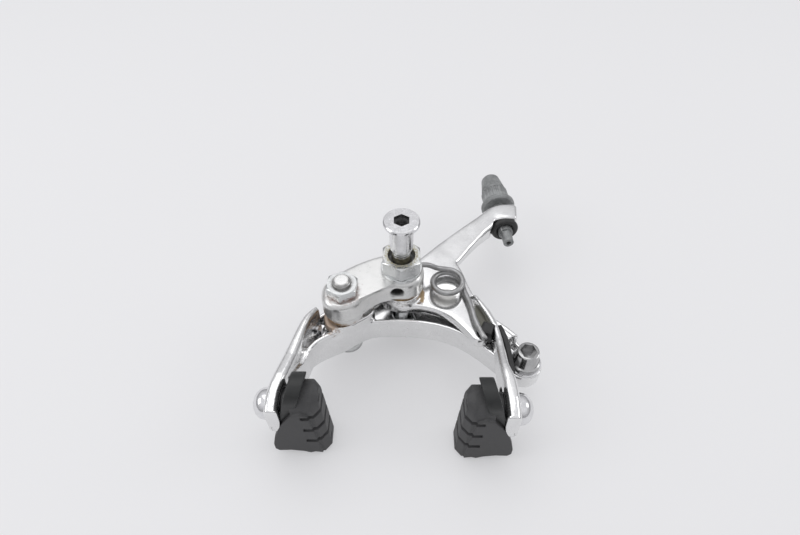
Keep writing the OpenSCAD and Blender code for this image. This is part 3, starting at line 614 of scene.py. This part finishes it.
def swell(piece):
    # a wider coil; the widening fades out along the legs
    centreX, centreY = springSwell["centre"]
    for vertex in piece.data.vertices:
        x, y = vertex.co.x/mm - centreX, vertex.co.y/mm - centreY
        share = min(1.0, max(0.0, 1 - (math.hypot(x, y) - springSwell["flat"])/springSwell["fade"]))
        grow = 1 + (springSwell["scale"] - 1)*share
        vertex.co.x, vertex.co.y = (centreX + x*grow)*mm, (centreY + y*grow)*mm


def copyOfNode(nodeName, name):
    # a node's mesh, merged, as a piece of its own
    copy = nodes[nodeName].copy()
    copy.data = nodes[nodeName].data.copy()
    copy.parent = None
    copy.modifiers.clear()
    copy.name = name
    bpy.context.scene.collection.objects.link(copy)
    pick(copy)
    bpy.ops.object.mode_set(mode="EDIT")
    bpy.ops.mesh.select_all(action="SELECT")
    bpy.ops.mesh.remove_doubles(threshold=nodeWeld)
    bpy.ops.object.mode_set(mode="OBJECT")
    return copy


springWirePiece = copyOfNode("return_spring", "springPiece")
swell(springWirePiece)
applyModifier(springWirePiece, "DISPLACE", strength=springSwell["thicker"]*mm, mid_level=0)
bpy.ops.object.shade_smooth_by_angle(angle=math.radians(springSwell["smooth"]))
settle(springWirePiece, "return_spring", "spring_wire", springSwell["body"])

for castName, cast in castings.items():
    casting = copyOfNode(cast["node"], castName)
    if castName == "anchorArmCast":
        slabs = [makeSlab(filler["points"], 2, filler["low"], filler["high"]) for filler in fillers]
        casting = joinPieces([casting] + slabs, castName)
    soften(casting, cast["voxel"], cast["passes"])
    if castName in armEnds:
        trimEnd(casting, armEnds[castName])
    if castName == "adjusterArmCast":
        roundHorn(casting)
    settle(casting, cast["node"], cast["slot"], cast["body"])
    print(castName, "triangles:", len(casting.data.polygons)*2)
print("castings made:", len(castings))


def arch(centre, radius, steps, low):
    # half-round rear end over straight sides, in y and z
    angles = [math.pi*step/steps for step in range(steps + 1)]
    points = [(centre[0] + radius*math.cos(angle), centre[1] + radius*math.sin(angle)) for angle in angles]
    return points + low


# brake pads, drawn for the left arm and mirrored for the right one
pad = {
    "holder": {"centre": (-44.6, -12.8), "radius": 5.5, "thick": 4.7, "voxel": 0.26, "passes": 9, "steps": 20,
               "low": [(-50.0, -31.0), (-48.3, -38.0), (-45.6, -44.4), (-44.6, -45.2), (-43.6, -44.4),
                       (-40.9, -38.0), (-39.2, -31.0)],
               "middle": -32.0, "lean": 0.25, "yaw": 0.16, "zero": (-39.4, -11.0)},
    "block": {"centre": (-45.0, -16.9), "radius": 5.6, "foot": -45.4, "back": -34.5, "edge": -27.6,
              "face": -25.5, "chamfer": 2.5, "crown": 0.85, "faceLean": 0.05, "voxel": 0.22, "passes": 4, "steps": 20,
              "slack": 0.1, "smooth": 40},
    "fin": {"near": -51.4, "far": -49.6,
            "points": [(-29.0, -18.5), (-31.5, -16.6), (-34.2, -17.6), (-37.2, -22.0), (-39.9, -27.7),
                       (-41.9, -33.7), (-42.9, -38.3), (-43.0, -42.0), (-41.9, -43.5), (-37.6, -43.3),
                       (-33.6, -44.2), (-31.2, -45.5), (-29.6, -44.6), (-27.0, -45.3)]},
    "grooves": {"levels": (-19.6, -27.6, -35.4), "width": 2.0, "depth": 2.8, "start": -31.6, "past": 3,
                "sideShare": 0.7, "edgeShare": 0.8, "inShare": 0.5, "chamferShare": 0.3},
    "slots": {"places": ((-46.4, -14.6), (-46.6, -41.8)), "long": 2.6, "wide": 1.1, "deep": 2.0, "past": 3.0},
}


def sheared(mesh, shape):
    # the holder leans outwards to its front end, and its near side stands further out
    zeroY, zeroZ = shape["zero"]
    for vertex in mesh.vertices:
        x, y, z = (value/mm for value in vertex.co)
        vertex.co.x = (x + shape["middle"] + shape["lean"]*(z - zeroZ) + shape["yaw"]*(y - zeroY))*mm


def makeHolder():
    shape = pad["holder"]
    half = shape["thick"]/2
    outline = arch(shape["centre"], shape["radius"], shape["steps"], shape["low"])
    plate = makeSlab(outline, 0, -half, half)
    sheared(plate.data, shape)
    soften(plate, shape["voxel"], shape["passes"])
    return plate


def narrowFace(block, shape):
    # the braking face is narrower by a chamfer at both sides, and leans with its edge
    middle, radius = shape["centre"][0], shape["radius"]
    top = shape["centre"][1]
    narrow = (radius - shape["chamfer"])/radius
    for vertex in block.data.vertices:
        x, y, z = (value/mm for value in vertex.co)
        if x > shape["face"] - shape["slack"]:
            vertex.co.y = (middle + (y - middle)*narrow)*mm
            vertex.co.z = (z if z < top + shape["slack"] else top + (z - top)*shape["crown"])*mm
        if x > shape["edge"] - shape["slack"]:
            vertex.co.x += (top - z)*shape["faceLean"]*mm


def padCutters(shape, grooves, slots):
    # grooves go round the near side, the chamfers and the face; slots go into the face
    middle, top = shape["centre"]
    near, far = middle - shape["radius"], middle + shape["radius"]
    start, deep, past = grooves["start"], grooves["depth"], grooves["past"]
    cutters = []
    for level in grooves["levels"]:
        lean = (top - level)*shape["faceLean"]
        edge, face = shape["edge"] + lean, shape["face"] + lean
        chamfer = shape["chamfer"] + deep*grooves["chamferShare"]
        loop = [(start, near - past), (start, near + deep*grooves["sideShare"]),
                (edge - deep*grooves["inShare"], near + deep*grooves["edgeShare"]),
                (face - deep, near + chamfer), (face - deep, far - chamfer),
                (edge - deep*grooves["inShare"], far - deep*grooves["edgeShare"]),
                (start, far - deep*grooves["sideShare"]), (start, far + past),
                (face + past, far + past), (face + past, near - past)]
        cutters.append(makeSlab(loop, 2, level - grooves["width"]/2, level + grooves["width"]/2))
    for y, z in slots["places"]:
        face = shape["face"] + (top - z)*shape["faceLean"]
        halfLong, halfWide = slots["long"]/2, slots["wide"]/2
        corners = [(y - halfLong, z - halfWide), (y + halfLong, z - halfWide),
                   (y + halfLong, z + halfWide), (y - halfLong, z + halfWide)]
        cutters.append(makeSlab(corners, 0, face - slots["deep"], face + slots["past"]))
    return joinPieces(cutters, "padCutter")


def makeBlock():
    shape, fin = pad["block"], pad["fin"]
    middle, foot, radius = shape["centre"][0], shape["foot"], shape["radius"]
    feet = [(middle - radius, foot), (middle + radius, foot)]
    block = makeSlab(arch(shape["centre"], radius, shape["steps"], feet), 0, shape["back"], shape["edge"])
    bpy.ops.object.mode_set(mode="EDIT")
    bpy.ops.mesh.select_all(action="DESELECT")
    bpy.ops.object.mode_set(mode="OBJECT")
    for polygon in block.data.polygons:
        polygon.select = polygon.normal.x > 0.9  # the rim's side
    bpy.ops.object.mode_set(mode="EDIT")
    outwards = ((shape["face"] - shape["edge"])*mm, 0, 0)
    bpy.ops.mesh.extrude_region_move(TRANSFORM_OT_translate={"value": outwards})
    bpy.ops.object.mode_set(mode="OBJECT")
    narrowFace(block, shape)
    finPlate = makeSlab(fin["points"], 1, fin["near"], fin["far"])
    block = joinPieces([block, finPlate], "padBlock")
    applyModifier(block, "REMESH", mode="VOXEL", voxel_size=shape["voxel"]*mm, use_smooth_shade=True)
    applyModifier(block, "SMOOTH", factor=softening, iterations=shape["passes"])
    cutter = padCutters(shape, pad["grooves"], pad["slots"])
    applyModifier(block, "BOOLEAN", object=cutter, operation="DIFFERENCE", solver="EXACT")
    bpy.data.objects.remove(cutter)
    pick(block)
    bpy.ops.object.shade_smooth_by_angle(angle=math.radians(shape["smooth"]))
    return block


def mirrored(piece, name, shift):
    # the right pad: its own mesh, turned over and moved to the right arm
    copy = piece.copy()
    copy.data = piece.data.copy()
    copy.name = name
    bpy.context.scene.collection.objects.link(copy)
    for vertex in copy.data.vertices:
        vertex.co.x = -vertex.co.x + shift[0]*mm
        vertex.co.y += shift[1]*mm
    pick(copy)
    bpy.ops.object.mode_set(mode="EDIT")
    bpy.ops.mesh.select_all(action="SELECT")
    bpy.ops.mesh.flip_normals()
    bpy.ops.object.mode_set(mode="OBJECT")
    return copy


rightPadShift = (-5.7, -2.0)  # from the mirrored place, in mm
padHolderLeft = makeHolder()
padHolderLeft.name = "leftPadHolder"
padBlockLeft = makeBlock()
padBlockLeft.name = "leftPadBlock"
padHolderRight = mirrored(padHolderLeft, "rightPadHolder", rightPadShift)
padBlockRight = mirrored(padBlockLeft, "rightPadBlock", rightPadShift)
padRows = ((padHolderLeft, "left_pad_holder", "pad_holder", "anchor"),
           (padBlockLeft, "left_pad_block", "pad_rubber", "anchor"),
           (padHolderRight, "right_pad_holder", "pad_holder", "adjuster"),
           (padBlockRight, "right_pad_block", "pad_rubber", "adjuster"))
for padPiece, padNode, padSlot, padBody in padRows:
    settle(padPiece, padNode, padSlot, padBody)
print("pads made, block triangles:", sum(len(polygon.vertices) - 2 for polygon in padBlockLeft.data.polygons))

# cable bolt: a turned head with a flange, and a hexagon socket
cableBolt = {"place": (43.5, -26.3), "top": -20.0, "socket": 5.1, "deep": 3.4, "turn": 0.35, "steps": 64,
             "smooth": 30,
             "profile": [(0, -20.0), (3.3, -20.0), (3.65, -20.2), (3.75, -20.6), (4.2, -25.4), (4.35, -25.7),
                         (4.9, -25.9), (5.1, -26.2), (5.1, -26.9), (4.8, -27.1), (2.5, -27.1), (2.5, -34.6),
                         (2.1, -35.0), (0, -35.0)]}


def makeTurned(profile, steps):
    # a profile turned once round z, closed at its poles
    deselectAll()
    bpy.ops.mesh.primitive_circle_add(vertices=len(profile), radius=outlineRadius, fill_type="NOTHING")
    turned = bpy.context.object
    for vertex, (radius, height) in zip(turned.data.vertices, profile):
        vertex.co = (radius*mm, 0, height*mm)
    applyModifier(turned, "SCREW", angle=math.tau, screw_offset=0, steps=steps, render_steps=steps)
    bpy.ops.object.mode_set(mode="EDIT")
    bpy.ops.mesh.select_all(action="SELECT")
    bpy.ops.mesh.remove_doubles(threshold=seamWeld)
    bpy.ops.mesh.select_all(action="SELECT")
    bpy.ops.mesh.delete_loose(use_verts=True, use_edges=True, use_faces=False)
    bpy.ops.mesh.select_all(action="SELECT")
    bpy.ops.mesh.normals_make_consistent(inside=False)
    bpy.ops.object.mode_set(mode="OBJECT")
    return turned


def makeCableBolt():
    x, y = cableBolt["place"]
    bolt = makeTurned(cableBolt["profile"], cableBolt["steps"])
    deselectAll()
    bpy.ops.mesh.primitive_cylinder_add(
        vertices=6, radius=cableBolt["socket"]/math.sqrt(3)*mm, depth=cableBolt["deep"]*2*mm,
        location=(0, 0, cableBolt["top"]*mm), rotation=(0, 0, cableBolt["turn"]))
    key = bpy.context.object
    applyModifier(bolt, "BOOLEAN", object=key, operation="DIFFERENCE", solver="EXACT")
    bpy.data.objects.remove(key)
    bolt.name = "cableBoltPiece"
    for vertex in bolt.data.vertices:
        vertex.co.x += x*mm
        vertex.co.y += y*mm
    bpy.ops.object.shade_smooth_by_angle(angle=math.radians(cableBolt["smooth"]))
    settle(bolt, "cable_bolt", "bolt_steel", "anchor")


makeCableBolt()
print("cable bolt made")
